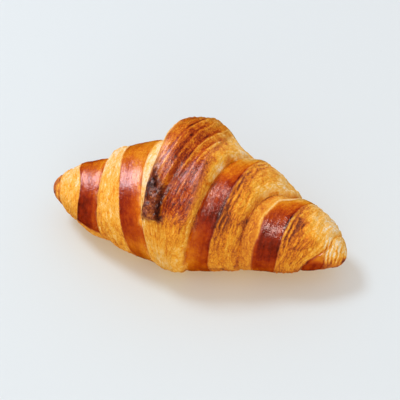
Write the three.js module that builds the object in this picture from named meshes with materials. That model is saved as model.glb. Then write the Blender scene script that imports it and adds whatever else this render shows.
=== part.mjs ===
// A straight butter croissant: one triangle of laminated dough rolled up and baked in one piece.
// +X runs from tip to tip, +Z is up, the belly rests on a flat patch at z = 0. All sizes in mm.
import * as THREE from 'three';

// ---- driving dimensions -------------------------------------------------------------
const LENGTH = 150;            // tip to tip
const AXIS_HEIGHT = 23.5;      // rolling axis above the tray at the belly
const LEFT_TIP_HEIGHT = 18.5;  // and at the left tip
const RIGHT_TIP_HEIGHT = 15;   // and at the right tip
const WIDER_THAN_TALL = 1.1;   // proofed dough sags: section width over section height
const STATION = 21;            // spacing of the body radii below
const FRONT_RADIUS = [23, 25.5, 26.3, 26.8, 23.1, 20.9, 20];    // low on the front side
const BACK_RADIUS = [18.6, 19.7, 23.1, 23.9, 23.8, 21.4, 23.6];  // high on the back side

// The dough is wound around the axis from the outside in. Each list gives where a line of the
// winding lies along X, once every 45 degrees of winding, starting low on the front side.
// Three turns can be seen on each half; the lines start near the middle and end at the tips.
const LEFT_CREST = [
  -9, -10, -17.5, -16, -15, -16.5, -18, -19.5,
  -21.5, -26.6, -32.6, -38, -40.5, -45, -50, -54.5,
  -57.5, -55.5, -56, -60.5, -62.5, -65.5, -68, -69.5, -71];
const LEFT_FOOT = [
  -11, -14.8, -21, -25, -23, -26, -30, -34,
  -39, -43, -45.7, -47.2, -49, -54, -59, -62,
  -65, -68, -70, -71, -71.5, -72, -72.5, -73, -73];
const RIGHT_CREST = [
  -3, -2, 4.2, 5.5, 9, 11, 12, 13,
  13.8, 14.4, 17.6, 21.7, 27.5, 32, 37, 41,
  44, 45, 46.5, 49.5, 55, 58, 60, 62, 64];
const RIGHT_FOOT = [
  1.5, 4, 6.9, 11.8, 20, 23, 25, 26.5,
  27.3, 27.6, 28.5, 34, 45, 49, 52, 54,
  55, 58, 66, 68, 70, 71, 71.5, 72, 72.5];

// How far the sheet stands above the turn below it, at the same places.
const THICKNESS = [
  1.2, 1.7, 3.9, 7.5, 1, 4.5, 4.5, 3,
  1.2, 1.7, 4.2, 5.5, 6.6, 5.5, 4.2, 2.4,
  1.7, 1.7, 1.8, 2.6, 2.2, 1.9, 1.6, 0.9, 0];
const TURNS = 4;               // the last one is only the sheet's inner end, fading out
const WINDING_STEP = 45;       // degrees of winding between two entries
const SHEET_START = 5;         // the outer end of the sheet is reached here
const SHEET_START_RUN = 30;    // and has its full thickness this many degrees further in

// The last fold of the sheet: a thick ridge over the top that stops short on the front.
const RIDGE_ANGLE = [120, 150, 180, 225, 270, 315];
const RIDGE_CENTRE = [-12.8, -12.5, -12, -13, -13, -13];
const RIDGE_LEFT = [6, 6, 6, 7.7, 9, 10];
const RIDGE_PLATEAU = [0, 0, 3, 11.5, 11.5, 0];
const RIDGE_RIGHT = [5.5, 7, 14, 31.5, 28, 18];
const RIDGE_HEIGHT = [5, 4.5, 7.3, 11.5, 5.5, 0];
const RIDGE_END = 120;         // angle where the ridge stops
const RIDGE_END_RUN = 5;       // degrees over which its end face drops

const TIP_BEND = 2.2;          // power that keeps the axis level in the middle
const STATIONS = 57;           // rings of vertices from tip to tip
const AROUND = 64;             // vertices in a ring
const FINE_STEPS = 600;        // steps for measuring a side line
const RISE_WEIGHT = 1.3;       // climbs count for more than their length there

// ---- helpers ------------------------------------------------------------------------
const clamp = THREE.MathUtils.clamp;
const smooth = (t) => THREE.MathUtils.smoothstep(t, 0, 1);
const radians = THREE.MathUtils.degToRad;

// Catmull-Rom blend of four neighbouring values.
function blend(p0, p1, p2, p3, f) {
  const a = 2 * p1;
  const b = (p2 - p0) * f;
  const c = (2 * p0 - 5 * p1 + 4 * p2 - p3) * f * f;
  const d = (3 * p1 - p0 - 3 * p2 + p3) * f * f * f;
  return 0.5 * (a + b + c + d);
}

// Smooth curve through evenly spaced keys, running on straight past both ends.
function curve(keys, t) {
  const n = keys.length;
  const at = (i) => {
    if (i < 0) return keys[0] + i * (keys[1] - keys[0]);
    if (i >= n) return keys[n - 1] + (i - n + 1) * (keys[n - 1] - keys[n - 2]);
    return keys[i];
  };
  const i = Math.floor(t);
  return blend(at(i - 1), at(i), at(i + 1), at(i + 2), t - i);
}

// Straight-line table lookup.
function table(xs, ys, x) {
  if (x <= xs[0]) return ys[0];
  for (let i = 1; i < xs.length; i += 1) {
    const f = (x - xs[i - 1]) / (xs[i] - xs[i - 1]);
    if (f <= 1) return THREE.MathUtils.lerp(ys[i - 1], ys[i], f);
  }
  return ys[ys.length - 1];
}

// Quarter of an ellipse: 1 on the crest, falling to 0 with a steep end.
const rollOff = (s) => Math.sqrt(1 - clamp(s, 0, 1) ** 2);

// ---- the rolled shape ---------------------------------------------------------------
const HALF = LENGTH / 2;
const line = (keys, winding) => curve(keys, winding / WINDING_STEP - 1);

// 0 low on the front, 1 high on the back, half a turn away from the first entry.
const highness = (angle) => smooth((1 - Math.cos(radians(angle - WINDING_STEP))) / 2);

// How much of a turn's thickness is present at x: full on its skin, rolling off on the cut edges.
function turnCover(x, winding) {
  const leftCrest = line(LEFT_CREST, winding);
  const leftFoot = line(LEFT_FOOT, winding);
  const rightCrest = line(RIGHT_CREST, winding);
  const rightFoot = line(RIGHT_FOOT, winding);
  if (x < leftCrest) return rollOff((leftCrest - x) / Math.max(leftCrest - leftFoot, 0.5));
  if (x > rightCrest) return rollOff((x - rightCrest) / Math.max(rightFoot - rightCrest, 0.5));
  return 1;
}

function ridge(x, angle) {
  const off = x - table(RIDGE_ANGLE, RIDGE_CENTRE, angle);
  const left = rollOff(-off / table(RIDGE_ANGLE, RIDGE_LEFT, angle));
  const plateau = table(RIDGE_ANGLE, RIDGE_PLATEAU, angle);
  const fall = table(RIDGE_ANGLE, RIDGE_RIGHT, angle) - plateau;
  const right = 1 - smooth((off - plateau) / fall);
  const end = smooth((angle - RIDGE_END) / RIDGE_END_RUN);
  return table(RIDGE_ANGLE, RIDGE_HEIGHT, angle) * end * (off < 0 ? left : right);
}

// Distance from the rolling axis to the crust. The angle is 0 below, 90 in front, 180 on top.
function radius(x, angle) {
  const high = highness(angle);
  const front = curve(FRONT_RADIUS, x / STATION + 3);
  const back = curve(BACK_RADIUS, x / STATION + 3);
  const taper = Math.sqrt(Math.max(1 - (x / HALF) ** 2, 0));
  let r = THREE.MathUtils.lerp(front, back, high) * taper;
  for (let turn = 0; turn < TURNS; turn += 1) {
    const winding = angle + 360 * turn;
    const thickness = Math.max(line(THICKNESS, winding), 0);
    const started = smooth((winding - SHEET_START) / SHEET_START_RUN);
    r += thickness * started * turnCover(x, winding);
  }
  return r + ridge(x, angle);
}

// Point on the crust. Everything that would sink into the tray lies flat on it.
function crust(x, angle) {
  const slope = Math.abs(x / HALF) ** TIP_BEND;
  const tip = x < 0 ? LEFT_TIP_HEIGHT : RIGHT_TIP_HEIGHT;
  const axisZ = THREE.MathUtils.lerp(AXIS_HEIGHT, tip, slope);
  const dy = -Math.sin(radians(angle));
  const dz = -Math.cos(radians(angle));
  const section = (a, b) => 1 / Math.sqrt(a / WIDER_THAN_TALL + b * WIDER_THAN_TALL);
  const r = (radius(x, angle) * section(dy * dy, dz * dz)) / section(0.5, 0.5);
  return new THREE.Vector3(x, r * dy, Math.max(axisZ + r * dz, 0));
}

// Stations along one side line, spaced evenly along the crust itself so steps get more of them.
function stations(angle) {
  const xs = [];
  const run = [0];
  for (let i = 0; i <= FINE_STEPS; i += 1) xs.push(-HALF * Math.cos((Math.PI * i) / FINE_STEPS));
  for (let i = 1; i <= FINE_STEPS; i += 1) {
    const rise = radius(xs[i], angle) - radius(xs[i - 1], angle);
    run.push(run[i - 1] + Math.hypot(xs[i] - xs[i - 1], RISE_WEIGHT * rise));
  }
  const step = run[FINE_STEPS] / STATIONS;
  const picked = [];
  for (let k = 1; k < STATIONS; k += 1) picked.push(table(run, xs, step * k));
  return picked;
}

function buildCrust() {
  const lines = [];
  for (let j = 0; j < AROUND; j += 1) {
    const angle = (360 * j) / AROUND;
    lines.push(stations(angle).map((x) => crust(x, angle)));
  }
  const points = [
    new THREE.Vector3(-HALF, 0, LEFT_TIP_HEIGHT),
    new THREE.Vector3(HALF, 0, RIGHT_TIP_HEIGHT)];
  const rings = STATIONS - 1;
  for (let k = 0; k < rings; k += 1) {
    for (let j = 0; j < AROUND; j += 1) points.push(lines[j][k]);
  }
  const at = (k, j) => 2 + k * AROUND + (j % AROUND);
  const faces = [];
  for (let j = 0; j < AROUND; j += 1) {
    faces.push(0, at(0, j), at(0, j + 1));
    faces.push(1, at(rings - 1, j + 1), at(rings - 1, j));
    for (let k = 0; k < rings - 1; k += 1) {
      faces.push(at(k, j), at(k + 1, j), at(k + 1, j + 1));
      faces.push(at(k, j), at(k + 1, j + 1), at(k, j + 1));
    }
  }
  const geometry = new THREE.BufferGeometry().setFromPoints(points);
  geometry.setIndex(faces);
  // The frame: origin at the middle of the footprint, on the tray.
  geometry.computeBoundingBox();
  const box = geometry.boundingBox;
  geometry.translate(-(box.min.x + box.max.x) / 2, -(box.min.y + box.max.y) / 2, -box.min.z);
  geometry.computeVertexNormals();
  return geometry;
}

// ---- the piece ----------------------------------------------------------------------
const baked = new THREE.MeshStandardMaterial({ color: 0xb4651f, roughness: 0.45, metalness: 0 });
const croissant = new THREE.Mesh(buildCrust(), baked);
croissant.name = 'croissant';

const group = new THREE.Group();
group.add(croissant);

export default group;
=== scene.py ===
# %% [markdown]
# A butter croissant, straight and not bent into a crescent. A long triangle of laminated dough
# (dough and butter folded into thin leaves) is rolled up from its wide side, brushed with egg and
# baked. Every turn of the roll shows two things: a smooth glazed skin, baked red-brown, and a cut
# edge where the leaves end, which stays dry, rough and golden. The whole pastry is one piece, so it
# is one mesh, and all of its detail is worked out as a function of two parameters: the place along
# the rolling axis and the angle around it.

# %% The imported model
import math

import bpy
import numpy as np
from mathutils import Matrix, Vector


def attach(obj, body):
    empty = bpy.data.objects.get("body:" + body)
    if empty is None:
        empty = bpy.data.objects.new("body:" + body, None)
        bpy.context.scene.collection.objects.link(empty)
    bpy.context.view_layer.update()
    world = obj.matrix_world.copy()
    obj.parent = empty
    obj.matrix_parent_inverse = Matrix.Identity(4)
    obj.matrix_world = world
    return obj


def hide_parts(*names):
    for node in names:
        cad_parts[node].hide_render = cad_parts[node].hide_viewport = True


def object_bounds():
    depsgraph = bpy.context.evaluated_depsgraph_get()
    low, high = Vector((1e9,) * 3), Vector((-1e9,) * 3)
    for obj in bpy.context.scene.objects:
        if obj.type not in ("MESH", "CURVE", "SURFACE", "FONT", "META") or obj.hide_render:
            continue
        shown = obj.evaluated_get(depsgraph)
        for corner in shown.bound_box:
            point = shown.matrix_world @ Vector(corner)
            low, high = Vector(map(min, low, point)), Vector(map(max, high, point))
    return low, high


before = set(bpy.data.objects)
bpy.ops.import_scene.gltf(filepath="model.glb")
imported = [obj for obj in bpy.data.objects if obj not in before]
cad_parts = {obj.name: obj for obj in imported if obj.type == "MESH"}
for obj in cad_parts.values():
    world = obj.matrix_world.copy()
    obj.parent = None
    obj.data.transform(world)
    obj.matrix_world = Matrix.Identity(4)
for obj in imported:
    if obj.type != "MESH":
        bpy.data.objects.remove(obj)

CAD_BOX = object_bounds()
print("nodes", list(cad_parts), "box", CAD_BOX)

# %% [markdown]
# The roll is described as a baker would: a body that tapers to both tips, and a sheet wound round
# it. A real sheet could be rolled up in a cloth simulation, but in a baked croissant the turns have
# swelled and grown together, so it is simpler to say how thick each turn lies on the one below.
# The body's radius is given at seven stations, 21 mm apart, low on the front (at 45 degrees) and
# high on the back (at 225), and it blends from one to the other around the roll. The axis droops
# to the height of each tip as a power of the distance from the middle.

# %% The body, in millimetres and degrees
MM = 0.001
LENGTH = (CAD_BOX[1][0] - CAD_BOX[0][0]) / MM
HALF = LENGTH / 2
AXIS_HEIGHT, LEFT_TIP_HEIGHT, RIGHT_TIP_HEIGHT = 23.5, 18.5, 15.0
TIP_DROOP = 2.2
WIDER_THAN_TALL = 1.1
STATION = 21.0
FRONT_RADIUS = np.array([23, 25.5, 26.3, 26.8, 23.1, 20.9, 20])
BACK_RADIUS = np.array([18.6, 19.7, 23.1, 23.9, 23.8, 21.4, 23.6])
MIDDLE_STATION = len(FRONT_RADIUS) // 2
LOW_FRONT = 45
print("length", round(LENGTH, 1), "mm")

# %% [markdown]
# The winding is followed from the last fold on the front inwards, once every 45 degrees. On each
# half a "crest" line marks where the glazed skin ends and the cut edge starts, and a "foot" line
# marks the crease where that edge meets the skin of the turn below. The sheet's thickness is given
# at the same steps, and it grows from nothing where the sheet starts.

# %% The wound sheet
TURNS = 4
WINDING_STEP = 45
SHEET_START, SHEET_START_RUN = 5, 30
LEFT_CREST = np.array([
    -9, -10, -17.5, -16, -15, -16.5, -18, -19.5,
    -21.5, -26.6, -32.6, -38, -40.5, -45, -50, -54.5,
    -57.5, -55.5, -56, -60.5, -62.5, -65.5, -68, -69.5, -71])
LEFT_FOOT = np.array([
    -11, -14.8, -21, -25, -23, -26, -30, -34,
    -39, -43, -45.7, -47.2, -49, -54, -59, -62,
    -65, -68, -70, -71, -71.5, -72, -72.5, -73, -73])
RIGHT_CREST = np.array([
    -3, -2, 4.2, 5.5, 9, 11, 12, 13,
    13.8, 14.4, 17.6, 21.7, 27.5, 32, 37, 41,
    44, 45, 46.5, 49.5, 55, 58, 60, 62, 64])
RIGHT_FOOT = np.array([
    1.5, 4, 6.9, 11.8, 20, 23, 25, 26.5,
    27.3, 27.6, 28.5, 34, 45, 49, 52, 54,
    55, 58, 66, 68, 70, 71, 71.5, 72, 72.5])
THICKNESS = np.array([
    1.2, 1.7, 3.9, 7.5, 1, 4.5, 4.5, 3,
    1.2, 1.7, 4.2, 5.5, 6.6, 5.5, 4.2, 2.4,
    1.7, 1.7, 1.8, 2.6, 2.2, 1.9, 1.6, 0.9, 0])
print("sheet up to", THICKNESS.max(), "mm thick")

# %% [markdown]
# The last fold is the tip of the triangle, pulled over the top. It is thick and narrow, so it gets
# a ridge of its own on top of the sheet, given at six angles: where it lies, how far it reaches to
# each side, and how high it stands. It stops short on the front.

# %% The last fold
RIDGE_ANGLE = [120, 150, 180, 225, 270, 315]
RIDGE_CENTRE = [-12.8, -12.5, -12, -13, -13, -13]
RIDGE_LEFT = [6, 6, 6, 7.7, 9, 10]
RIDGE_PLATEAU = [0, 0, 3, 11.5, 11.5, 0]
RIDGE_RIGHT = [5.5, 7, 14, 31.5, 28, 18]
RIDGE_HEIGHT = [5, 4.5, 7.3, 11.5, 5.5, 0]
RIDGE_END, RIDGE_END_RUN = 120.0, 5.0
print("ridge up to", max(RIDGE_HEIGHT), "mm high")

# %% [markdown]
# Two small tools carry all of the shape: a soft step from 0 to 1, and a smooth curve through values
# given at even steps. The curve takes whole arrays, so one call works out every vertex at once.

# %% Soft steps and curves
def smooth(t):
    """Smoothstep: 0 below 0, 1 above 1, and 3t^2 - 2t^3 between."""
    t = np.clip(t, 0, 1)
    return t * t * (3 - 2 * t)


def curve(keys, t):
    """Catmull-Rom curve through evenly spaced keys, running on straight past both ends."""
    keys = np.asarray(keys, float)
    lead = [2 * keys[0] - keys[1]]
    tail = [2 * keys[-1] - keys[-2], 3 * keys[-1] - 2 * keys[-2]]
    padded = np.concatenate([lead, keys, tail])
    t = np.clip(np.asarray(t, float) + 1, 0, len(padded) - 2 - 1e-6)
    i = np.floor(t).astype(int)
    f = t - i
    p0, p1, p2, p3 = (padded[np.clip(i + d, 0, len(padded) - 1)] for d in (-1, 0, 1, 2))
    return 0.5 * (2 * p1 + (p2 - p0) * f + (2 * p0 - 5 * p1 + 4 * p2 - p3) * f ** 2
                  + (3 * p1 - p0 - 3 * p2 + p3) * f ** 3)


print("front radius between two stations", curve(FRONT_RADIUS, 2.5).round(1), "mm")

# %% [markdown]
# Nothing that is baked is even. The unevenness is value noise: random values on a lattice, blended
# between its points, with finer and weaker copies added. The random values come from a hash of the
# lattice point, not from a generator, so the same croissant comes out every time.

# %% Noise
NOISE_SPREAD = 1.6


def hashed(ix, iy, iz, seed):
    """A repeatable value from 0 to 1 for a lattice point: large odd factors, with the bits mixed."""
    h = (ix * 374761393 + iy * 668265263 + iz * 1442695041 + seed * 974634777) & 0xFFFFFFFF
    h = ((h ^ (h >> 13)) * 1274126177) & 0xFFFFFFFF
    h = ((h ^ (h >> 16)) * 2246822519) & 0xFFFFFFFF
    return ((h ^ (h >> 15)) & 0xFFFFFF) / 0xFFFFFF


def noise(x, y, z, seed, octaves=3):
    """Value noise from about -1 to 1: lattice values blended smoothly, halved at each finer octave."""
    total, weight, scale = 0.0, 0.0, 1.0
    for octave in range(octaves):
        p = [np.asarray(a, float) * scale for a in (x, y, z)]
        i = [np.floor(a).astype(np.int64) for a in p]
        f = [smooth(a - b) for a, b in zip(p, i)]
        value = 0.0
        for corner in range(8):
            d = [(corner >> k) & 1 for k in range(3)]
            w = 1.0
            for k in range(3):
                w = w * (f[k] if d[k] else 1 - f[k])
            value = value + w * hashed(i[0] + d[0], i[1] + d[1], i[2] + d[2], seed + octave)
        total = total + (2 * value - 1) / scale
        weight += 1 / scale
        scale *= 2.0
    return total / weight * NOISE_SPREAD


print("noise at one place", noise(0.5, 0.5, 0.5, seed=1).round(2))

# %% [markdown]
# The wound body. At each angle around the axis the turns are asked for their lines, and each turn
# adds its thickness between its feet. A cut edge falls from crest to foot as a quarter ellipse,
# which is how a swollen sheet of dough rolls over.

# %% The turns
NARROWEST_EDGE = 0.5


def line(keys, winding):
    """Where a line of the winding lies along X, at that many degrees of winding."""
    return curve(keys, (winding - WINDING_STEP) / WINDING_STEP)


def turn_lines(angle, turn):
    """Left crest, left foot, right crest and right foot of a turn, and the sheet's thickness there."""
    winding = angle + 360 * turn
    lines = [line(k, winding) for k in (LEFT_CREST, LEFT_FOOT, RIGHT_CREST, RIGHT_FOOT)]
    fade = smooth((winding - SHEET_START) / SHEET_START_RUN)
    return (*lines, np.maximum(line(THICKNESS, winding), 0) * fade)


def edge_place(x, crest, foot):
    """0 on the crest, 1 at the foot of a cut edge, growing past both."""
    run = np.where(crest > foot, np.maximum(crest - foot, NARROWEST_EDGE),
                   np.minimum(crest - foot, -NARROWEST_EDGE))
    return (crest - x) / run


def roll_off(s):
    """Quarter ellipse: 1 at s = 0, falling to 0 with a steep end at s = 1."""
    return np.sqrt(1 - np.clip(s, 0, 1) ** 2)


print("first turn in front, left crest at", turn_lines(90, 1)[0].round(1), "mm")

# %% [markdown]
# The ridge of the last fold and the tapered body complete the radius, the distance from the axis
# to the crust. The section is a little wider than tall, the axis droops towards both tips, and
# whatever would sink into the tray is laid flat on it.

# %% The crust as a function of two parameters
def ridge_cover(x, angle):
    """The last fold: 1 on the ridge's crown, a steep left side and a gentle right side."""
    off = x - np.interp(angle, RIDGE_ANGLE, RIDGE_CENTRE)
    left = roll_off(-off / np.interp(angle, RIDGE_ANGLE, RIDGE_LEFT))
    plateau = np.interp(angle, RIDGE_ANGLE, RIDGE_PLATEAU)
    fall = np.interp(angle, RIDGE_ANGLE, RIDGE_RIGHT) - plateau
    right = 1 - smooth((off - plateau) / fall)
    end = smooth((angle - RIDGE_END) / RIDGE_END_RUN)
    return end * np.where(off < 0, left, right)


def plain_radius(x, angle):
    """Axis to crust: tapered body, plus each turn's thickness times its cover, plus the ridge."""
    front = curve(FRONT_RADIUS, x / STATION + MIDDLE_STATION)
    back = curve(BACK_RADIUS, x / STATION + MIDDLE_STATION)
    taper = np.sqrt(np.maximum(1 - (x / HALF) ** 2, 0))
    backness = smooth((1 - np.cos(np.radians(angle - LOW_FRONT))) / 2)
    r = (front + (back - front) * backness) * taper
    for turn in range(TURNS):
        left_crest, left_foot, right_crest, right_foot, thick = turn_lines(angle, turn)
        s = np.maximum(edge_place(x, left_crest, left_foot), edge_place(x, right_crest, right_foot))
        r = r + thick * roll_off(s)
    return r + np.interp(angle, RIDGE_ANGLE, RIDGE_HEIGHT) * ridge_cover(x, angle)


def crust_point(x, angle, r):
    """Place of a crust point in mm: angle 0 is below, 90 in front, 180 on top; z stops at the tray."""
    slope = np.abs(x / HALF) ** TIP_DROOP
    tip = np.where(x < 0, LEFT_TIP_HEIGHT, RIGHT_TIP_HEIGHT)
    axis_z = AXIS_HEIGHT + (tip - AXIS_HEIGHT) * slope
    dy, dz = -np.sin(np.radians(angle)), -np.cos(np.radians(angle))
    section = 1 / np.sqrt(dy * dy / WIDER_THAN_TALL + dz * dz * WIDER_THAN_TALL)
    even = 1 / np.sqrt(0.5 / WIDER_THAN_TALL + 0.5 * WIDER_THAN_TALL)
    r = r * section / even
    return np.stack([x + 0 * r, r * dy, np.maximum(axis_z + r * dz, 0)], -1)


print("height at the middle", crust_point(0, 180, plain_radius(0, 180))[2].round(1), "mm")

# %% [markdown]
# The grid has one column of vertices for every 1.5 degrees around and 400 steps along the axis.
# Along each column the vertices are spread evenly over the crust itself, and closer together at the
# crests and creases, so a steep little cliff of dough has as many as it needs. The fourth turn has
# almost run out at the tips, so the lines of three turns are enough. Y0 and Z0 keep the place of the
# plain crust, so that noise laid on it later isn't stretched by the relief.

# %% The grid
AROUND, ALONG = 240, 400
FINE = 1500
RISE_WEIGHT = 1.3
LINE_REACH, LINE_WEIGHT = 0.8, 1.2
VISIBLE_TURNS = 3


def zone_lines(angle):
    """The 14 lines that part the crust into strips, from tip to tip, at each angle."""
    turns = [turn_lines(angle, turn) for turn in range(VISIBLE_TURNS)]
    left = [f for t in reversed(turns) for f in (t[1], t[0])]
    right = [f for t in turns for f in (t[2], t[3])]
    edge = np.full_like(angle, HALF, dtype=float)
    return np.stack([-edge, *left, *right, edge])


def stations(angles):
    """Even steps of run = sum of sqrt(dx^2 + (rise weight * dr)^2), with extra near every line."""
    x = -HALF * np.cos(np.pi * np.arange(FINE + 1) / FINE)
    columns = []
    for angle in angles:
        r = plain_radius(x, np.full_like(x, angle))
        middle = (x[1:] + x[:-1]) / 2
        lines = zone_lines(np.array([angle]))[1:-1, 0]
        near = np.exp(-((middle[:, None] - lines) / LINE_REACH) ** 2).sum(1)
        step = np.hypot(np.diff(x), RISE_WEIGHT * np.diff(r)) + LINE_WEIGHT * near * np.diff(x)
        run = np.concatenate([[0], np.cumsum(step)])
        columns.append(np.interp(run[-1] * np.arange(1, ALONG) / ALONG, run, x))
    return np.stack(columns, 1)


angles = 360.0 * np.arange(AROUND) / AROUND
X = stations(angles)
A = np.broadcast_to(angles, X.shape).copy()
PLAIN = plain_radius(X, A)
Y0, Z0 = np.moveaxis(crust_point(X, A, PLAIN), -1, 0)[1:]
print("grid", X.shape)

# %% [markdown]
# Strips. From tip to tip the lines part the crust into 13 strips: glazed skins and cut edges by
# turns. Each vertex gets its strip, its place across it from 0 on the left to 1 on the right, and a
# "leaf" coordinate in millimetres that is the same all the way along a leaf of the dough, so that
# grain and streaks can follow the winding. On the last fold the leaves drift to the right as they
# climb over the top.

# %% Strips and the leaf coordinate
NOMINAL = np.array([-75, -70, -57, -45.5, -33, -21, -16.5, 5, 8.5, 18, 30, 47, 66, 75.0])
LAST_STRIP = len(NOMINAL) - 2
FIRST_SKIN, BESIDE_FOLD, FOLD, FOURTH_SKIN, RIGHT_LEAVES = 2, 5, 6, 10, 11
NARROWEST_STRIP = 0.3
LEAF_DRIFT = 0.14

LINES = np.maximum.accumulate(zone_lines(A.ravel()).reshape(len(NOMINAL), *A.shape), 0)
STRIP = np.clip((X[None] > LINES).sum(0) - 1, 0, LAST_STRIP)
left_line = np.take_along_axis(LINES, STRIP[None], 0)[0]
right_line = np.take_along_axis(LINES, STRIP[None] + 1, 0)[0]
ACROSS = np.clip((X - left_line) / np.maximum(right_line - left_line, NARROWEST_STRIP), 0, 1)
LEAF = NOMINAL[STRIP] + ACROSS * (NOMINAL[STRIP + 1] - NOMINAL[STRIP])
ON_FOLD = STRIP == FOLD
LEAF = LEAF - ON_FOLD * LEAF_DRIFT * np.clip(A - 150, -30, 60)
print("vertices on each strip", np.bincount(STRIP.ravel()).tolist())

# %% [markdown]
# From here on, marks are laid on the crust with three brushes: a band between two lines, a soft
# round patch, and noise drawn out along the winding.

# %% Brushes
def box(x, left, right, soft=0.5):
    """1 between left and right, easing to 0 over the soft distance across each edge."""
    return smooth((x - left) / soft + 0.5) * smooth((right - x) / soft + 0.5)


def bump(x, a, cx, ca, wx, wa):
    """A soft round patch: exp(-((x - cx)/wx)^2 - ((a - ca)/wa)^2), x in mm and a in degrees."""
    return np.exp(-((x - cx) / wx) ** 2 - ((a - ca) / wa) ** 2)


def stroke(distance, width):
    """A soft line: exp(-(distance/width)^2)."""
    return np.exp(-(distance / width) ** 2)


def uneven(along, size, reach, seed, octaves=3):
    """Noise with marks that many mm in size along X or across the leaves, and reach mm around."""
    return noise(along / size, Y0 / reach, Z0 / reach, seed, octaves)


print("a band at its edge", box(0.0, 0.0, 10.0), "and inside", box(5.0, 0.0, 10.0))

# %% [markdown]
# The skin mask says where the glaze lies. The skin tears along its lip, so its edge wanders a
# little, and where a turn tucks under the next one it fades out over a few millimetres. Both tips
# stay dry, but for a glazed patch low on the right one.

# %% Skin mask
DRY_TIP = 4.5
LIP_SOFT, FOOT_SOFT, FOLD_SOFT = 0.8, 2.4, 5
torn = X + 0.35 * uneven(X, 2, 3, seed=72) + 0.5 * uneven(X, 6, 7, seed=74)
tucked = X + 1.8 * uneven(X, 3, 4, seed=73)


def skin_mask():
    """1 on glazed skin, 0 on cut edges: each turn's skin, less what the turn above it covers."""
    total = 0.0
    for turn in range(TURNS):
        left_crest, left_foot, right_crest, right_foot, _ = turn_lines(A, turn)
        skin = box(torn, left_crest, right_crest, LIP_SOFT)
        if turn == 0:
            ragged = 7 * uneven(X, 3, 6, seed=71)
            skin = box(tucked, left_crest, right_crest, FOLD_SOFT)
            skin = skin * smooth((A - RIDGE_END - 2 + ragged) / 8)
        total = total + skin
        if turn < TURNS - 1:
            total = total - box(tucked, left_foot, right_foot, FOOT_SOFT)
    dry_tip = smooth((HALF - DRY_TIP - np.abs(X)) / 2)
    right_tip = box(torn, turn_lines(A, 2)[3], HALF, 1) * bump(X, A, 62, 80, 7, 26)
    return np.clip(total * dry_tip + right_tip, 0, 1)


SKIN = skin_mask()
print("skin share", round(float(SKIN.mean()), 2))

# %% [markdown]
# Fine shape, in millimetres outwards from the axis. First the cut edges: the skin is a crust about
# half a millimetre thick that ends in a crisp lip, the leaves of dough show below it as ridges, and
# a tight crease closes the foot. It could be a displacement texture, but then it would be missing
# from the mesh itself, so it is added to the radius.

# %% Lips, leaves and creases
LIP = 0.45
LEAF_RIDGE, LEAVES_PER_EDGE = 0.22, 6
LEFT_CREASE, RIGHT_CREASE, CREASE_WIDTH = 0.45, 0.9, 0.7
FULL_SHEET = 3


def cut_edges():
    """For both edges of each turn: lip + sine ridges between crest and foot - a narrow crease."""
    out = np.zeros_like(X)
    wander = uneven(LEAF, 9, 14, seed=3)
    for turn in range(VISIBLE_TURNS):
        left_crest, left_foot, right_crest, right_foot, thick = turn_lines(A, turn)
        strong = np.clip(thick / FULL_SHEET, 0.25, 1)
        edges = (left_crest, left_foot, LEFT_CREASE), (right_crest, right_foot, RIGHT_CREASE)
        for crest, foot, depth in edges:
            s = edge_place(X, crest, foot)
            gap = (X - crest) * np.sign(crest - foot)
            inside = (s > 0) & (s < 1)
            lip = LIP * smooth((gap + 0.9) / 0.7) * (gap < 6)
            lip = np.where(gap >= 0, LIP * (1 - smooth((gap - 1.5) / 4)), lip)
            leaves = LEAF_RIDGE * np.sin(2 * np.pi * (LEAVES_PER_EDGE * s + 0.8 * wander))
            leaves = leaves * np.sin(np.pi * np.clip(s, 0, 1)) ** 0.6
            crease = -depth * stroke(X - foot, CREASE_WIDTH)
            out = out + strong * (lip + np.where(inside, leaves, 0) + crease)
    return out


RELIEF = cut_edges()
print("edges from", RELIEF.min().round(2), "to", RELIEF.max().round(2), "mm")

# %% [markdown]
# The whole crust rises and falls in slow waves, the dry edges are rough, and the skins hardly are.

# %% Roughness
SLOW_SWELL, DRY_ROUGH, SKIN_ROUGH = 0.55, 0.45, 0.16
RELIEF = RELIEF + SLOW_SWELL * uneven(X, 17, 17, seed=11, octaves=2)
RELIEF = RELIEF + (1 - SKIN) * DRY_ROUGH * uneven(LEAF, 1.2, 3, seed=21)
RELIEF = RELIEF + SKIN * SKIN_ROUGH * uneven(LEAF, 1.8, 4, seed=31)
print("relief from", RELIEF.min().round(2), "to", RELIEF.max().round(2), "mm")

# %% [markdown]
# The last fold is ribbed along its length, because the dough was stretched there, and four torn
# sheet edges run down it. Each edge is given by its leaf coordinate.

# %% Ribs of the last fold
FOLD_EDGES = (-13.4, -9.4, -5.6, -2.0)
RIB, EDGE_RIB, EDGE_RIB_WIDTH = 0.6, 0.4, 0.7
left_crest, _, right_crest, _, _ = turn_lines(A, 0)
fold = box(X, left_crest, right_crest, 2) * smooth((A - 124) / 8)
THREADS = np.clip(1 - np.abs(uneven(LEAF, 1.5, 26, seed=41, octaves=2)), 0, 1)
RELIEF = RELIEF + fold * RIB * (THREADS - 0.6) * smooth((330 - A) / 60)
for edge in FOLD_EDGES:
    edge_line = stroke(LEAF - edge, EDGE_RIB_WIDTH)
    RELIEF = RELIEF + fold * EDGE_RIB * edge_line * smooth((250 - A) / 40)
print("ribs cover", round(float(fold.mean()), 2))

# %% [markdown]
# At the right tip the leaf ends fan out like the teeth of a comb.

# %% The comb of leaf ends
COMB_PITCH, COMB_HEIGHT = 1.6, 0.35
COMB_LEFT, COMB_RIGHT = 65.5, 73.5
COMB = np.sin(2 * np.pi * (X + 0.5 * uneven(X, 3, 3, seed=54)) / COMB_PITCH)
COMB = COMB * box(X, COMB_LEFT, COMB_RIGHT, 1.5) * box(A, 92, 165, 15)
RELIEF = RELIEF + COMB_HEIGHT * COMB
print("teeth", int((COMB_RIGHT - COMB_LEFT) / COMB_PITCH))

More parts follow.
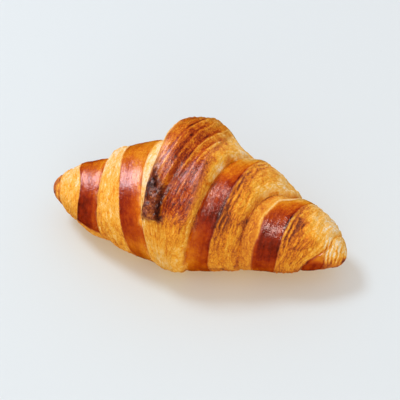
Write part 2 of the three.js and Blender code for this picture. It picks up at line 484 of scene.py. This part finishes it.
# %% [markdown]
# No two croissants swell alike in the oven. These are this one's own swells and hollows: place in
# mm, angle in degrees, half sizes, and height. Then the relief fades out where the tray held it.

# %% Swells and hollows
FROM_BELOW = np.minimum(A, 360 - A)
PRESSED_ANGLE, PRESSED_FADE = 8, 25
SWELLS = [
    (-49, 58, 6, 24, 1.3), (-38, 60, 2.6, 22, -1.2), (-15.5, 215, 4, 28, -1.7),
    (-40.5, 215, 3.5, 30, -1.6), (-66.5, 205, 4, 40, -1.2), (-20.5, 215, 3, 28, -1.0),
    (43, 220, 4, 28, -1.9), (20.5, 220, 3.5, 25, -1.4)]
for x, angle, half_length, half_angle, height in SWELLS:
    RELIEF = RELIEF + height * bump(X, A, x, angle, half_length, half_angle)
RELIEF = RELIEF * smooth((FROM_BELOW - PRESSED_ANGLE) / PRESSED_FADE)
print("relief from", RELIEF.min().round(2), "to", RELIEF.max().round(2), "mm")

# %% [markdown]
# The end of the last fold stuck out into the heat, so it is scorched and crumbly. The scorching
# fades out up its left side. The relief fades out at the tips, where the rings close.

# %% The scorched end
SCORCH_LEFT, SCORCH_RIGHT = -18.2, -8.0
SCORCH_LOW, SCORCH_HIGH = 121, 151
CRUMB_HEIGHT = 0.85
TIP_FADE = 3


def scorch():
    """1 on the scorched end: a ragged box narrowing upwards, plus a soft trail above it."""
    ragged = 0.9 * uneven(X, 2.2, 2.2, seed=53)
    right_side = SCORCH_RIGHT - 0.05 * (A - SCORCH_LOW)
    end = box(X + ragged, SCORCH_LEFT, right_side, 1.6)
    end = end * box(A + 3 * ragged, SCORCH_LOW, SCORCH_HIGH, 6)
    trail = 0.9 * bump(X, A, -15.5, 155, 2.6, 9)
    return np.clip(end + trail, 0, 1)


SCORCH = scorch()
crumbs = uneven(X, 1.6, 1.6, seed=51) + 0.5 * uneven(X, 0.8, 0.8, seed=52)
RELIEF = RELIEF + SCORCH * CRUMB_HEIGHT * crumbs
POINTS = crust_point(X, A, PLAIN + RELIEF * smooth((HALF - np.abs(X)) / TIP_FADE))
print("scorched vertices", int((SCORCH > 0.5).sum()))

# %% [markdown]
# How deep each strip is baked, from 0 (pale) to 1 (nearly burnt). A baker would say: the glazed
# skins are darkest on the front shoulders, orange on top and low down, and the edge of a skin
# catches the heat first. The cut edge beside the last fold is palest where it faces the window,
# which is a painted highlight. The chart gives three values across each strip, left, middle and
# right, at eight angles around. Its last and first rows are repeated beyond its ends, so that it
# closes around the roll.

# %% Baking chart
CHART_ANGLE = np.array([-70, 60, 85, 110, 135, 160, 190, 225, 290, 420.0])
CHART = {
    0: [(.75, .65, .50), (.75, .65, .50), (.75, .62, .48), (.75, .60, .32),
        (.70, .58, .42), (.70, .58, .42), (.75, .60, .42), (.75, .60, .45)],
    1: [(.60, .50, .50), (.48, .34, .47), (.44, .34, .40), (.36, .27, .34),
        (.20, .20, .20), (.18, .14, .20), (.40, .22, .20), (.50, .40, .40)],
    2: [(.50, .45, .45), (.94, .86, .66), (.90, .86, .68), (.80, .78, .60),
        (.66, .66, .50), (.62, .58, .42), (.76, .66, .55), (.70, .65, .50)],
    3: [(.62, .55, .50), (.50, .42, .42), (.46, .38, .38), (.48, .40, .38),
        (.20, .16, .20), (.06, .12, .14), (.22, .16, .18), (.50, .45, .40)],
    4: [(.58, .50, .40), (.64, .54, .40), (.82, .74, .46), (.82, .78, .44),
        (.60, .64, .42), (.44, .46, .34), (.50, .50, .36), (.70, .60, .45)],
    # Strip 5 is near white at 160 degrees, where it faces the window: pale dough with a painted
    # highlight.
    5: [(.45, .40, .40), (.28, .32, .36), (.04, .28, .38), (.12, .20, .20),
        (.06, .06, .02), (.68, .16, .40), (.10, .22, .60), (.40, .40, .50)],
    6: [(.40, .40, .42), (.28, .28, .30), (.42, .48, .50), (.80, .74, .84),
        (.56, .76, .76), (.54, .66, .48), (.52, .46, .34), (.54, .46, .40)],
    7: [(.40, .42, .48), (.28, .30, .38), (.44, .42, .34), (.64, .58, .44),
        (.72, .56, .24), (.66, .52, .20), (.30, .24, .20), (.50, .40, .40)],
    8: [(.50, .62, .66), (.40, .60, .78), (.54, .70, .88), (.80, .94, .96),
        (.62, .70, .84), (.34, .48, .60), (.00, .10, .22), (.50, .60, .70)],
    9: [(.60, .62, .50), (.60, .52, .54), (.70, .56, .40), (.88, .78, .54),
        (.74, .58, .32), (.78, .50, .10), (.42, .30, .14), (.50, .50, .50)],
    10: [(.45, .62, .66), (.50, .78, .76), (.52, .86, .88), (.52, .86, .80),
         (.36, .62, .80), (.30, .40, .62), (.00, .12, .32), (.50, .60, .70)],
    11: [(.68, .75, .70), (.52, .60, .54), (.64, .72, .40), (.78, .66, .24),
         (.72, .46, .06), (.66, .22, .10), (.28, .10, .16), (.50, .50, .50)],
    12: [(.84, .74, .66), (.60, .72, .56), (.50, .40, .42), (.06, .12, .36),
         (.08, .08, .12), (.32, .12, .14), (.45, .35, .45), (.45, .35, .45)],
}
ROWS = np.array([[row[-1]] + row + [row[0]] for row in CHART.values()])
LAST_ROW = len(CHART_ANGLE) - 2


def baked():
    """The chart read between its entries, smoothly around and straight across each strip."""
    t = np.interp(A, CHART_ANGLE, np.arange(len(CHART_ANGLE)))
    row = np.minimum(t.astype(int), LAST_ROW)
    around = smooth(t - row)
    u = ACROSS * 2
    column = np.minimum(u.astype(int), 1)
    across = u - column
    before = ROWS[STRIP, row, column] * (1 - across) + ROWS[STRIP, row, column + 1] * across
    after = ROWS[STRIP, row + 1, column] * (1 - across) + ROWS[STRIP, row + 1, column + 1] * across
    return before * (1 - around) + after * around


BAKE = baked()
print("baked", BAKE.min().round(2), "to", BAKE.max().round(2))

# %% [markdown]
# Browning follows the dough. Soft blotches lie all over, fine streaks run along the cut leaves, and
# the last fold has dark streaks with threads of gold between them, on the crests of its ribs.

# %% Streaks
BAKE = BAKE + 0.05 * uneven(LEAF, 5, 9, seed=61)
BAKE = BAKE + (1 - SKIN) * 0.16 * uneven(LEAF, 0.9, 5, seed=62)
streaked = uneven(LEAF, 0.75, 40, seed=63, octaves=2)
gold_threads = smooth((THREADS - 0.8) / 0.2)
BAKE = BAKE + SKIN * ON_FOLD * (0.08 * streaked - 0.12 * gold_threads)
BAKE = BAKE + SKIN * ~ON_FOLD * 0.05 * streaked
print("baked", BAKE.min().round(2), "to", BAKE.max().round(2))

# %% [markdown]
# Just outside the right-hand skin edges the outermost leaves lie side by side as thin threads, some
# pale and some dark, which break off here and there. Each is given by its distance from the crest
# in mm and by how much deeper (or, below 0, less deeply) it is baked.

# %% Threads beside the skins
EDGE_THREADS = ((-0.5, 0.2), (0.6, -0.35), (1.5, 0.35), (2.6, -0.3), (3.6, 0.25))
THREAD_WIDTH = 0.4


def edge_threads():
    """Sum of amount * broken * a soft line, for each thread's distance from the crest in mm."""
    out = 0.0
    for turn in (1, 2):
        gap = X - turn_lines(A, turn)[2] + 0.4 * uneven(X, 9, 9, seed=64)
        broken = np.clip(0.6 + 0.9 * uneven(X, 5, 5, seed=65 + turn), 0, 1.2)
        for place, amount in EDGE_THREADS:
            out = out + amount * broken * stroke(gap - place, THREAD_WIDTH)
    return out * smooth((A - 100) / 40) * smooth((250 - A) / 20)


BAKE = BAKE + edge_threads()
print("baked", BAKE.min().round(2), "to", BAKE.max().round(2))

# %% [markdown]
# Each sheet edge on the last fold shows as a pale line with a darker one on its left.

# %% Sheet edges on the last fold
EDGE_TONE = 0.24
on_fold = ON_FOLD * smooth((A - 126) / 8) * smooth((235 - A) / 40)
broken = np.clip(0.8 + 0.8 * uneven(LEAF, 2, 7, seed=68), 0, 1.3)
for edge in FOLD_EDGES:
    pale = EDGE_TONE * stroke(LEAF - edge, 0.35)
    dark = EDGE_TONE * stroke(LEAF - edge + 1.1, 0.7)
    BAKE = BAKE + on_fold * broken * (dark - pale)
print("edges on the fold", len(FOLD_EDGES))

# %% [markdown]
# On the golden leaves at the right end lies a darker three-cornered flap. The teeth of the comb
# beyond it are darker on their crests.

# %% Flap and comb
FLAP_TONE, COMB_TONE = 0.22, 0.28
flap = box(LEAF, 49.2, 49.6 + 0.14 * (A - 132), 0.8) * box(A, 131, 173, 6) * (STRIP == RIGHT_LEAVES)
BAKE = BAKE + FLAP_TONE * flap + COMB_TONE * COMB
print("flap covers", int((flap > 0.5).sum()), "vertices")

# %% [markdown]
# The fourth skin shows a second lip: a pale line that curves up along it, which is a painted
# highlight on the lip's edge, with a drier margin between that line and the crease on its left.

# %% Second lip
LIP_HIGHLIGHT, MARGIN_TONE = 0.36, 0.56
MARGIN = curve([33.5, 33.9, 34.7, 35.6, 39.5, 45.5, 50], (A - 60) / 30)
MARGIN = MARGIN + 0.5 * uneven(X, 6, 6, seed=66)
margin_side = (STRIP == FOURTH_SKIN) * smooth((MARGIN - X) / 1.6 + 0.5)
margin_tone = MARGIN_TONE - 0.1 * smooth((A - 135) / 25)
BAKE = BAKE + margin_side * (margin_tone - BAKE) * 0.8
SKIN = SKIN * (1 - 0.85 * margin_side)
# The pale line is a painted highlight along the second lip, and it is made less glossy.
second_lip_highlight = (STRIP == FOURTH_SKIN) * stroke(X - MARGIN, 0.6) * box(A, 118, 215, 25)
BAKE = BAKE - LIP_HIGHLIGHT * second_lip_highlight
SKIN = SKIN * (1 - 0.7 * second_lip_highlight)
print("skin share", round(float(SKIN.mean()), 2))

# %% [markdown]
# The creases are darkened along their bottom, here more and there less, and most at the right-hand
# feet below the last fold: this is painted shade. The leaves beside the last fold stay palest of all,
# pale cut dough with a painted highlight where that cut edge faces the window. The valley at the
# first turn's right foot gets a little painted shade too, and a patch low on the right is darker.

# %% Painted shade in the creases, and pale leaves
LEFT_PAINTED_SHADE, RIGHT_PAINTED_SHADE, FOLD_PAINTED_SHADE = 0.04, 0.2, 0.06
PALE_LEAVES_AND_HIGHLIGHT, VALLEY_PAINTED_SHADE = 0.14, 0.06
for turn in range(VISIBLE_TURNS):
    _, left_foot, _, right_foot, _ = turn_lines(A, turn)
    for foot, depth in ((left_foot, LEFT_PAINTED_SHADE), (right_foot, RIGHT_PAINTED_SHADE if turn else FOLD_PAINTED_SHADE)):
        # Painted shade along the bottom of each crease.
        crease_shade = depth + 0.2 * uneven(X, 6, 6, seed=67)
        BAKE = BAKE + crease_shade * stroke(X - foot, 0.9) * smooth((A - 60) / 30)
# Pale cut dough beside the last fold, made paler still as a painted highlight.
beside = (STRIP == BESIDE_FOLD) * smooth((ACROSS - 0.55) / 0.3)
BAKE = BAKE - PALE_LEAVES_AND_HIGHLIGHT * beside * box(A, 122, 200, 20)
# Painted shade in the valley at the first turn's right foot.
valley = stroke(X - turn_lines(A, 1)[3], 2.4) * box(A, 112, 200, 30)
BAKE = BAKE + VALLEY_PAINTED_SHADE * valley
BAKE = BAKE + 0.1 * bump(X, A, 61.5, 84, 5, 14)
print("baked", BAKE.min().round(2), "to", BAKE.max().round(2))

# %% [markdown]
# Low on the front the first skin ends in a dry golden ledge. The scorched end is near black down
# its right side, which is painted shadow on the side turned from the window, and near black on top,
# and browner at its lower left. Both tips of the roll caught the heat.

# %% Ledge, scorch and tips
LEDGE_TONE, SCORCH_TONE = 0.48, 0.46
ledge = (STRIP == FIRST_SKIN) * smooth((79 - A) / 4) * smooth((A - 20) / 30)
BAKE = BAKE + ledge * (LEDGE_TONE - BAKE)
SKIN = SKIN * (1 - ledge)
# The near-black strip down the scorched end's right side, at -9.2 mm, is painted shadow.
tone = SCORCH_TONE + 0.28 * bump(X, A, -9.2, 131, 1.5, 16) + 0.24 * bump(X, A, -15, 149, 4, 6)
tone = tone - 0.14 * bump(X, A, -15, 123, 3, 6)
BAKE = BAKE + SCORCH * (tone - BAKE)
BAKE = BAKE + 0.3 * bump(X, A, -71.5, 150, 1.6, 26) + 0.25 * bump(X, A, -73, 95, 1.5, 20)
BAKE = BAKE + 0.4 * bump(X, A, 74.3, 110, 1.3, 60)
print("scorched end's tone", tone.min().round(2), "to", tone.max().round(2))

# %% [markdown]
# The last fold never bakes to black. The grain field says how strongly the fine streaks of the
# finish show: strongly on the dry leaves and on the last fold, weakly on the smooth skins, and a
# little more on their upper side.

# %% Grain
DRY_GRAIN, SKIN_LOSS, FOLD_GAIN, UPPER_GAIN = 0.50, 0.36, 0.56, 0.2
BAKE = np.clip(BAKE, 0, 1 - 0.16 * ON_FOLD)
SKIN = SKIN * (1 - 0.1 * ON_FOLD)
GRAIN = DRY_GRAIN - SKIN * (SKIN_LOSS - FOLD_GAIN * ON_FOLD)
GRAIN = GRAIN + UPPER_GAIN * SKIN * ~ON_FOLD * box(A, 138, 215, 25)
print("grain", GRAIN.min().round(2), "to", GRAIN.max().round(2))

# %% [markdown]
# The side that lay on the tray is an even, dull golden brown with hardly any grain.

# %% Tray side
TRAY_ANGLE, TRAY_FADE = 18, 24
TRAY_TONE, TRAY_SKIN = 0.55, 0.25
UNDER = 1 - smooth((FROM_BELOW - TRAY_ANGLE) / TRAY_FADE)
tray_tone = TRAY_TONE + 0.14 * uneven(X, 9, 9, seed=69)
BAKE = BAKE + UNDER * (tray_tone - BAKE)
SKIN = SKIN + UNDER * (TRAY_SKIN - SKIN)
GRAIN = GRAIN * (1 - 0.9 * UNDER)
print("tray side share", round(float(UNDER.mean()), 2))

# %% [markdown]
# The mesh. The grid becomes rings of quads, closed by a fan of triangles round a pole at each tip.
# The fields worked out above are stored on its vertices, where the finish can read them.

# %% Faces and bake map
RINGS = ALONG - 1
FIELDS = {"skin": SKIN, "bake": BAKE, "scorch": SCORCH, "leaf": LEAF, "grain": GRAIN}
J = np.arange(AROUND)


def vertex(ring, place):
    """Index of a vertex: the two poles come first, then each ring in turn."""
    return 2 + ring * AROUND + place % AROUND


def crust_faces():
    """Quads between neighbouring rings, then a fan at each tip, as lists of indices."""
    k, j = np.meshgrid(np.arange(RINGS - 1), J, indexing="ij")
    quads = np.stack([vertex(k, j), vertex(k + 1, j), vertex(k + 1, j + 1), vertex(k, j + 1)], -1)
    start = np.stack([0 * J, vertex(0, J), vertex(0, J + 1)], -1)
    end = np.stack([0 * J + 1, vertex(RINGS - 1, J + 1), vertex(RINGS - 1, J)], -1)
    return quads.reshape(-1, 4).tolist() + start.tolist() + end.tolist()


def bake_map():
    """A unit square: u = (ring + 1) / steps along the crust, v = place / places around it."""
    k, j = np.meshgrid(np.arange(RINGS - 1), J, indexing="ij")
    left, right, low, high = (k + 1) / ALONG, (k + 2) / ALONG, j / AROUND, (j + 1) / AROUND
    quads = np.stack([left, low, right, low, right, high, left, high], -1)
    low, middle, high = J / AROUND, (J + 0.5) / AROUND, (J + 1) / AROUND
    first, last = 0 * J + 1 / ALONG, 0 * J + RINGS / ALONG
    start = np.stack([0 * J, middle, first, low, first, high], -1)
    end = np.stack([0 * J + 1, middle, last, high, last, low], -1)
    return np.concatenate([quads.ravel(), start.ravel(), end.ravel()])


print("faces", len(crust_faces()))

# %% [markdown]
# The object stays at the origin, unturned and unscaled, and the place of the croissant is in its
# mesh. Its front and its back don't bulge equally far, so the mesh is centred in plan.

# %% The baked croissant
def build_crust(name):
    """Poles and rings in metres, centred on the CAD's origin, with map and fields."""
    tips = np.array([[-HALF, 0, LEFT_TIP_HEIGHT], [HALF, 0, RIGHT_TIP_HEIGHT]])
    points = np.concatenate([tips, POINTS.reshape(-1, 3)])
    middle = (points.max(0) + points.min(0)) / 2
    points = points - [middle[0], middle[1], 0]
    mesh = bpy.data.meshes.new(name)
    mesh.from_pydata(points * MM, [], crust_faces())
    mesh.uv_layers.new(name="OFBake").data.foreach_set("uv", bake_map())
    for label, field in FIELDS.items():
        values = np.concatenate([field[0, :1], field[-1, :1], field.ravel()])
        mesh.attributes.new(label, "FLOAT", "POINT").data.foreach_set("value", values)
    mesh.polygons.foreach_set("use_smooth", np.ones(len(mesh.polygons), bool))
    mesh.update()
    crust = bpy.data.objects.new(name, mesh)
    bpy.context.scene.collection.objects.link(crust)
    return crust


croissant = build_crust("baked_croissant")
print("size in mm", [round(side / MM, 1) for side in croissant.dimensions])

# %% [markdown]
# The finish is egg-washed laminated crust: proteins and sugars in the wash brown to a thin, glossy,
# slightly wrinkled film over the skins, while the cut leaves stay matt and golden. The eye reads
# the gloss first. It could be two materials, but flour and egg run over the border, so it is one
# whose colour and roughness follow the skin field.

# %% Colours and nodes
def linear(hex_colour):
    """sRGB hex to linear RGBA: c/12.92 below 0.04045, else ((c + 0.055)/1.055)^2.4."""
    srgb = [int(hex_colour[i:i + 2], 16) / 255 for i in (1, 3, 5)]
    return (*[c / 12.92 if c <= 0.04045 else ((c + 0.055) / 1.055) ** 2.4 for c in srgb], 1.0)


def add(tree, kind, inputs=None, stops=(), **settings):
    """Adds a node; an input is a plain value, a socket, or a node whose first output is meant."""
    node = tree.nodes.new(kind)
    for name, value in settings.items():
        setattr(node, name, value)
    for socket, value in (inputs or {}).items():
        if isinstance(value, bpy.types.Node):
            value = value.outputs[0]
        if isinstance(value, bpy.types.NodeSocket):
            tree.links.new(value, node.inputs[socket])
        else:
            node.inputs[socket].default_value = value
    for i, (place, colour) in enumerate(stops):
        elements = node.color_ramp.elements
        element = elements[i] if i < len(elements) else elements.new(place)
        element.position = place
        element.color = linear(colour)
    return node


print("amber in linear RGB", [round(c, 3) for c in linear("#df8a16")[:3]])

# %% [markdown]
# The finish starts by reading the fields that the mesh stores, with one Attribute node for each.

# %% Stored fields
finish = bpy.data.materials.new("egg_washed_laminated_crust")
finish.use_nodes = True
tree = finish.node_tree
shader = tree.nodes["Principled BSDF"]
skin, bake, scorched, leaf, grain_depth = (
    add(tree, "ShaderNodeAttribute", attribute_name=label).outputs["Fac"] for label in FIELDS)
print("fields read", list(FIELDS))

# %% [markdown]
# Specks, blisters and blotches lie anyhow, so they read Object coordinates, in metres: their scales
# give about one speck every 0.8 mm, one blister every 2 mm and one blotch every 6 mm.

# %% Specks, blisters and blotches
spot = add(tree, "ShaderNodeTexCoord").outputs["Object"]
specks, blister, blotch = (
    add(tree, "ShaderNodeTexNoise", {"Vector": spot, "Scale": per_metre, "Detail": 3.0})
    for per_metre in (1200.0, 480.0, 160.0))


def shifted(value, texture, amount):
    """value + amount * (texture - 0.5)."""
    centred = add(tree, "ShaderNodeMath", {0: texture, 1: 0.5}, operation="SUBTRACT")
    return add(tree, "ShaderNodeMath", {0: centred, 1: amount, 2: value}, operation="MULTIPLY_ADD")


print("nodes", len(tree.nodes))

# %% [markdown]
# Grain runs along the winding: fine across the leaves, long around the roll. Across, it reads the
# leaf coordinate, one unit a millimetre, made a little wavy. Around, it reads the other two object
# coordinates, about one unit every 8 mm.

# %% Streaks along the winding
ROUND_THE_ROLL = 130.0
apart = add(tree, "ShaderNodeSeparateXYZ", {0: spot})
sides = [add(tree, "ShaderNodeMath", {0: apart.outputs[side], 1: ROUND_THE_ROLL},
             operation="MULTIPLY") for side in ("Y", "Z")]
wavy = shifted(shifted(leaf, blotch, 4.0), blister, 1.2)
along_grain = add(tree, "ShaderNodeCombineXYZ", {0: wavy, 1: sides[0], 2: sides[1]})
streaks = add(tree, "ShaderNodeTexNoise", {"Vector": along_grain, "Scale": 1.5, "Detail": 4.0})
strings = add(tree, "ShaderNodeTexNoise", {"Vector": along_grain, "Scale": 0.9, "Detail": 2.0})
print("nodes", len(tree.nodes))

# %% [markdown]
# Hair-thin pale strings lie where the slower grain crosses its middle value. A Map Range node turns
# the distance from that value to 1 on a string and 0 off it.

# %% Strings
STRING_HALF, STRING_TONE = 0.02, -0.3
from_middle = add(tree, "ShaderNodeMath", {0: strings, 1: 0.5}, operation="SUBTRACT")
off_string = add(tree, "ShaderNodeMath", {0: from_middle}, operation="ABSOLUTE")
string = add(tree, "ShaderNodeMapRange", {
    "Value": off_string, "From Min": 0.0, "From Max": STRING_HALF, "To Min": 1.0, "To Max": 0.0})
string = add(tree, "ShaderNodeMath", {0: string, 1: grain_depth}, operation="MULTIPLY")
pale_string = add(tree, "ShaderNodeMath", {0: string, 1: STRING_TONE}, operation="MULTIPLY")
print("nodes", len(tree.nodes))

# %% [markdown]
# The dry leaves are broken into flakes about 1.3 mm across and 4.7 mm long, so they read cells of
# that size, stretched along the grain. The cracks between the flakes are 1, their insides 0.

# %% Flakes and cracks
FLAKE_SHORTER, FLAKES_PER_MM, CRACK_HALF = 2.2, 0.75, 0.14
shorter = [add(tree, "ShaderNodeMath", {0: side, 1: FLAKE_SHORTER}, operation="MULTIPLY")
           for side in sides]
flake_spot = add(tree, "ShaderNodeCombineXYZ", {0: wavy, 1: shorter[0], 2: shorter[1]})
cell = add(tree, "ShaderNodeTexVoronoi", {"Vector": flake_spot, "Scale": FLAKES_PER_MM},
           feature="DISTANCE_TO_EDGE")
crack = add(tree, "ShaderNodeMapRange", {
    "Value": cell, "From Min": 0.0, "From Max": CRACK_HALF, "To Min": 1.0, "To Max": 0.0})
print("nodes", len(tree.nodes))

# %% [markdown]
# The stored baking is shifted by every texture, and then each kind of crust turns it to a colour
# with a ramp of its own. The glaze goes from straw through amber to deep mahogany, the leaves from
# cream through gold to brown, and the char from toffee to black. The leaves' palest colours are
# whiter and creamier than bare dough, which is a painted sheen.

# %% Browning
GLAZED = [(0.0, "#f8d08a"), (0.2, "#eda944"), (0.36, "#df8a16"), (0.5, "#ce6904"),
          (0.64, "#b44500"), (0.8, "#8e2400"), (1.0, "#400b02")]
# The palest leaf colours are whiter and creamier than bare dough: a painted sheen.
LEAVES = [(0.0, "#f2ddbd"), (0.2, "#f2bf6c"), (0.4, "#eda628"), (0.6, "#dd8304"),
          (0.8, "#b65702"), (1.0, "#6c2803")]
CHAR = [(0.2, "#c06f2c"), (0.4, "#8c3c15"), (0.58, "#541908"), (0.8, "#210703")]

skin_bake = shifted(shifted(shifted(bake, blotch, 0.3), blister, 0.22), streaks, grain_depth)
skin_bake = add(tree, "ShaderNodeMath", {0: skin_bake, 1: pale_string}, operation="ADD")
skin_bake = shifted(skin_bake, specks, grain_depth)
leaf_bake = shifted(shifted(shifted(bake, streaks, grain_depth), blister, 0.25), blotch, 0.2)
leaf_bake = shifted(leaf_bake, specks, grain_depth)
dark_crack = add(tree, "ShaderNodeMath", {0: crack, 1: grain_depth}, operation="MULTIPLY")
leaf_bake = add(tree, "ShaderNodeMath", {0: dark_crack, 1: 0.32, 2: leaf_bake},
                operation="MULTIPLY_ADD")
leaf_bake = add(tree, "ShaderNodeMath", {0: leaf_bake, 1: pale_string}, operation="ADD")
char_bake = shifted(shifted(bake, specks, 0.9), blister, 0.7)
glazed = add(tree, "ShaderNodeValToRGB", {"Fac": skin_bake}, GLAZED)
dry = add(tree, "ShaderNodeValToRGB", {"Fac": leaf_bake}, LEAVES)
char = add(tree, "ShaderNodeValToRGB", {"Fac": char_bake}, CHAR)
print("nodes", len(tree.nodes))

# %% [markdown]
# The skin field mixes glaze and leaves, and the scorch field lays the char over both. A colour Mix
# node has its two colours in sockets 6 and 7, and its result in output 2.

# %% Base colour
MIX_A, MIX_B, MIX_RESULT = 6, 7, 2
mixed = add(tree, "ShaderNodeMix", data_type="RGBA", inputs={0: skin, MIX_A: dry, MIX_B: glazed})
final = add(tree, "ShaderNodeMix", data_type="RGBA",
            inputs={0: scorched, MIX_A: mixed.outputs[MIX_RESULT], MIX_B: char})
tree.links.new(final.outputs[MIX_RESULT], shader.inputs["Base Color"])
print("nodes", len(tree.nodes))

# %% [markdown]
# Gloss. Dried egg is a film with an IOR near 1.46, smooth but not polished, and bare dough is
# matt. The skins are wrinkled by less than a tenth of a millimetre, which breaks their gleams up,
# and the dry leaves are rougher. Two bumps in a row do it: streaks and cracks first, then specks.

# %% Gloss and wrinkles
DRY_ROUGHNESS, GLAZE_ROUGHNESS = 0.95, 0.23
DRY_DEPTH, GLAZE_DEPTH = 1.5, 0.34
WRINKLE, GRIT = 0.6 * MM, 0.3 * MM
gloss = add(tree, "ShaderNodeMapRange",
            {"Value": skin, "To Min": DRY_ROUGHNESS, "To Max": GLAZE_ROUGHNESS})
roughness = shifted(gloss, streaks, 0.15)
tree.links.new(roughness.outputs[0], shader.inputs["Roughness"])
shader.inputs["IOR"].default_value = 1.46
shader.inputs["Specular IOR Level"].default_value = 0.45

depth = add(tree, "ShaderNodeMapRange", {"Value": skin, "To Min": DRY_DEPTH, "To Max": GLAZE_DEPTH})
wrinkles = shifted(streaks, blister, 0.6)
cut = add(tree, "ShaderNodeMath", {0: crack, 1: -0.25}, operation="MULTIPLY")
height = add(tree, "ShaderNodeMath", {0: wrinkles, 1: cut}, operation="ADD")
height = add(tree, "ShaderNodeMath", {0: height, 1: depth}, operation="MULTIPLY")
rough = add(tree, "ShaderNodeBump", {"Height": height, "Strength": 0.5, "Distance": WRINKLE})
fine = add(tree, "ShaderNodeBump",
           {"Height": specks, "Normal": rough, "Strength": 0.4, "Distance": GRIT})
tree.links.new(fine.outputs[0], shader.inputs["Normal"])
print("nodes", len(tree.nodes))

# %% [markdown]
# The piece rides on the one body, and stands for the plain CAD solid, which stays for collision.

# %% Riding on the frame
croissant.data.materials.append(finish)
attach(croissant, "root")
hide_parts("croissant")
print("piece", croissant.name)

# %% [markdown]
# The table: a plain, pale, matt floor. The shadow on it is warm, because light thrown back by the
# golden crust falls there. The floor gets it by a faint warm glow of its own over a cool base
# colour, and where the light falls in full the two together come out near white.

# %% Floor
FLOOR_HALF = 2.0
FLOOR_COLOUR = "#a5bfd6"
FLOOR_GLOW = (0.33, 0.20, 0.06, 1.0)


def pale_floor():
    """A square plane, 4 m across, at tray height."""
    mesh = bpy.data.meshes.new("floor")
    corners = [(FLOOR_HALF * x, FLOOR_HALF * y, 0) for x, y in ((-1, -1), (1, -1), (1, 1), (-1, 1))]
    mesh.from_pydata(corners, [], [(0, 1, 2, 3)])
    floor = bpy.data.objects.new("floor", mesh)
    bpy.context.scene.collection.objects.link(floor)
    material = bpy.data.materials.new("matt_white_table")
    material.use_nodes = True
    matt = material.node_tree.nodes["Principled BSDF"]
    matt.inputs["Base Color"].default_value = linear(FLOOR_COLOUR)
    matt.inputs["Emission Color"].default_value = FLOOR_GLOW
    matt.inputs["Emission Strength"].default_value = 1.0
    matt.inputs["Roughness"].default_value = 0.9
    matt.inputs["Specular IOR Level"].default_value = 0.1
    mesh.materials.append(material)
    floor.visible_glossy = False
    return floor


pale_floor()
print("floor", 2 * FLOOR_HALF, "m across")

# %% [markdown]
# The light: a soft window high on the left, a warm weak fill from the front, and an even surround
# that fills the shadows. These three are left out of reflections, because they would dull the deep
# colour of the glaze. Three other lights are seen only there, as gleams on the skins.

# %% Lights and surround
LIGHT_AIM = Vector((0, 0, 0.03))


def soft_light(name, towards, distance, size, watts, colour, diffuse=True, glossy=True):
    """A round area light facing the croissant; it can be left out of matt or glossy shading."""
    data = bpy.data.lights.new(name, "AREA")
    data.shape = "DISK"
    data.size = size
    data.energy = watts
    data.color = linear(colour)[:3]
    lamp = bpy.data.objects.new(name, data)
    towards = Vector(towards).normalized()
    lamp.location = LIGHT_AIM + towards * distance
    lamp.rotation_euler = towards.to_track_quat("Z", "Y").to_euler()
    lamp.visible_diffuse, lamp.visible_glossy = diffuse, glossy
    bpy.context.scene.collection.objects.link(lamp)


soft_light("window", (-0.50, 0.08, 0.86), distance=1.6, size=0.5, watts=13.5,
           colour="#fffaf2", glossy=False)
soft_light("gleam_left", (-0.70, 0.12, 0.70), distance=1.2, size=0.75, watts=23.0,
           colour="#f2ecf4", diffuse=False)
soft_light("gleam_right", (0.40, -0.47, 0.79), distance=1.2, size=0.22, watts=10.0,
           colour="#ffe4d8", diffuse=False)
soft_light("gleam_top", (-0.04, -0.13, 0.99), distance=1.2, size=0.2, watts=5.5,
           colour="#ffe4d8", diffuse=False)
soft_light("front_fill", (0.25, -0.90, 0.35), distance=1.4, size=0.9, watts=6.0,
           colour="#fff0d6", glossy=False)

world = bpy.data.worlds.new("surround")
world.use_nodes = True
surround = world.node_tree.nodes["Background"]
surround.inputs["Color"].default_value = linear("#f2f6fa")
surround.inputs["Strength"].default_value = 0.79
world.cycles_visibility.glossy = False
bpy.context.scene.world = world
bpy.context.scene.view_settings.view_transform = "Standard"
print("lights", list(bpy.data.lights.keys()))

# %% [markdown]
# The camera looks down on the table from the front, with a long lens so that the roll keeps its
# proportions. It aims at a place inside the roll, moved a little right and up across the view, so
# that the roll has about the same space on both sides.

# %% Camera
AZIMUTH, ELEVATION = math.radians(18), math.radians(45)
DISTANCE = 0.7
FRAME_WIDTH = 0.1938
SENSOR = 36.0
AIM = Vector((0, -0.0051, 0.025))
AIM_RIGHT, AIM_UP = 0.0014, 0.0042


def camera_at_the_table():
    """A long lens from the front, 18 degrees to the right and 45 degrees above the table."""
    back = Vector((math.sin(AZIMUTH) * math.cos(ELEVATION),
                   -math.cos(AZIMUTH) * math.cos(ELEVATION), math.sin(ELEVATION)))
    right = Vector((math.cos(AZIMUTH), math.sin(AZIMUTH), 0))
    up = back.cross(right)
    data = bpy.data.cameras.new("camera")
    data.sensor_width = SENSOR
    data.lens = SENSOR * DISTANCE / FRAME_WIDTH
    camera = bpy.data.objects.new("camera", data)
    aim = AIM + right * AIM_RIGHT + up * AIM_UP
    rotation = Matrix((right, up, back)).transposed().to_4x4()
    camera.matrix_world = Matrix.Translation(aim + back * DISTANCE) @ rotation
    bpy.context.scene.collection.objects.link(camera)
    bpy.context.scene.camera = camera


camera_at_the_table()
print("lens", round(bpy.context.scene.camera.data.lens), "mm")
